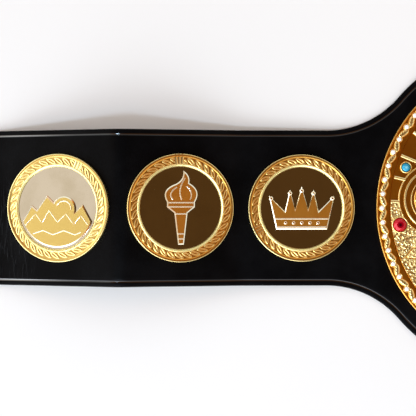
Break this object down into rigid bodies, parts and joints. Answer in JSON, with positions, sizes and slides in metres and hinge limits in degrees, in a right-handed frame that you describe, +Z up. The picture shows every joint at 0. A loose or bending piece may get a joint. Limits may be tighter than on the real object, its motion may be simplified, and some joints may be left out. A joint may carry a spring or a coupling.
{
  "type": "championship title belt",
  "caption": "Black leather title belt lying face up, with a round gilt centre plate ringed by small stones and round mirrored side plates with gilt laurel rims.",
  "frame": {"origin": "on the ground under the middle of the round centre plate, at the underside of the strap", "axes": "+X along the belt towards the end with the caps, +Y across the belt towards its upper edge as worn, +Z up out of the plates' faces"},
  "size_m": [1.283, 0.3052, 0.0361],
  "materials": {
    "black_leather": "smooth glossy black leather with a fine grain and a creased border",
    "gilt_casting": "bright gold plating on cast metal, polished on high spots",
    "gilt_overlay": "satin gold face with a bright bevelled edge",
    "silvered_mirror": "mirror-polished nickel plate",
    "plated_steel": "nickel-plated, fine turned marks",
    "blue_stone": "faceted aqua glass stone",
    "red_stone": "faceted red glass stone"
  },
  "bodies": {
    "root": {"strap": "black_leather", "centre_plate": "gilt_casting", "stone_band": "gilt_casting", "stone_blue_left": "blue_stone", "stone_red_left": "red_stone", "stone_blue_right": "blue_stone", "stone_red_right": "red_stone", "frame_inner_left": "gilt_casting", "mirror_inner_left": "silvered_mirror", "emblem_inner_left": "gilt_overlay", "post_inner_left": "plated_steel", "frame_middle_left": "gilt_casting", "mirror_middle_left": "silvered_mirror", "emblem_middle_left": "gilt_overlay", "post_middle_left": "plated_steel", "frame_outer_left": "gilt_casting", "mirror_outer_left": "silvered_mirror", "emblem_outer_left": "gilt_overlay", "post_outer_left": "plated_steel", "frame_inner_right": "gilt_casting", "mirror_inner_right": "silvered_mirror", "emblem_inner_right": "gilt_overlay", "post_inner_right": "plated_steel", "frame_middle_right": "gilt_casting", "mirror_middle_right": "silvered_mirror", "emblem_middle_right": "gilt_overlay", "post_middle_right": "plated_steel", "frame_outer_right": "gilt_casting", "mirror_outer_right": "silvered_mirror", "emblem_outer_right": "gilt_overlay", "post_outer_right": "plated_steel", "post_centre_left_upper": "plated_steel", "post_centre_left_lower": "plated_steel", "post_centre_right_upper": "plated_steel", "post_centre_right_lower": "plated_steel", "snap_stud_upper": "plated_steel", "snap_cap_upper": "plated_steel", "snap_stud_middle": "plated_steel", "snap_cap_middle": "plated_steel", "snap_stud_lower": "plated_steel", "snap_cap_lower": "plated_steel"}
  },
  "joints": []
}
